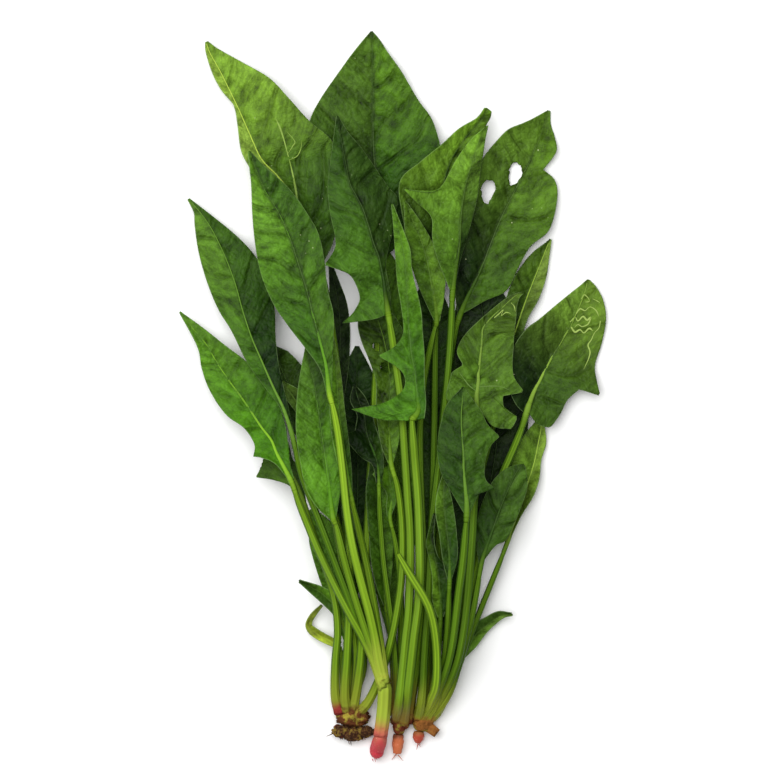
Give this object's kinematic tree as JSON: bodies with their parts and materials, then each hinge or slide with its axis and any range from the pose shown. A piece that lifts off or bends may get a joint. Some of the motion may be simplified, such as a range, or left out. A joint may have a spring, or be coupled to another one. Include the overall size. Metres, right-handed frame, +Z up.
{
  "type": "spinach bunch",
  "caption": "Loose bunch of young savoy spinach lying flat, crinkled leaves on long stalks that meet at trimmed red roots",
  "frame": {"origin": "on the surface the bunch lies on, under the middle of its outline", "axes": "X across the bunch, Y along it from the roots (-Y) to the leaf tips (+Y), Z up"},
  "size_m": [0.2132, 0.3634, 0.0395],
  "materials": {
    "leaf_bright": "satin",
    "leaf_mid": "satin",
    "leaf_dark": "satin",
    "leaf_olive": "satin",
    "stalk_green": "satin",
    "root_red": "matte",
    "root_orange": "matte",
    "root_brown": "matte"
  },
  "bodies": {
    "root": {"leaf_centre_curly": "leaf_dark", "leaf_centre_folded": "leaf_mid", "leaf_centre_lobed": "leaf_mid", "leaf_centre_low": "leaf_dark", "leaf_centre_yellow": "leaf_bright", "leaf_centre_young": "leaf_bright", "leaf_crest_back": "leaf_mid", "leaf_crest_front": "leaf_mid", "leaf_crumpled": "leaf_dark", "leaf_left_dark": "leaf_dark", "leaf_left_front": "leaf_bright", "leaf_left_long": "leaf_mid", "leaf_left_lower": "leaf_bright", "leaf_left_narrow": "leaf_bright", "leaf_left_scrap": "leaf_dark", "leaf_left_under": "leaf_dark", "leaf_left_upper": "leaf_mid", "leaf_low_left": "leaf_mid", "leaf_low_right": "leaf_mid", "leaf_old_holed": "leaf_olive", "leaf_right_barbed": "leaf_mid", "leaf_right_behind": "leaf_dark", "leaf_right_dark": "leaf_dark", "leaf_right_front": "leaf_dark", "leaf_right_holed": "leaf_dark", "leaf_right_mined": "leaf_bright", "leaf_right_narrow": "leaf_dark", "leaf_right_pale": "leaf_mid", "leaf_top_centre": "leaf_mid", "leaf_top_left": "leaf_bright", "leaf_under_centre": "leaf_dark", "leaf_under_crest": "leaf_dark", "leaf_under_far": "leaf_dark", "leaf_under_left": "leaf_dark", "leaf_under_right": "leaf_dark", "leaf_under_top": "leaf_dark", "leaf_withered": "leaf_bright", "root_a": "root_brown", "root_b": "root_red", "root_c": "root_orange", "root_d": "root_red", "stalks_a": "stalk_green", "stalks_b": "stalk_green", "stalks_c": "stalk_green", "stalks_d": "stalk_green"}
  },
  "joints": []
}
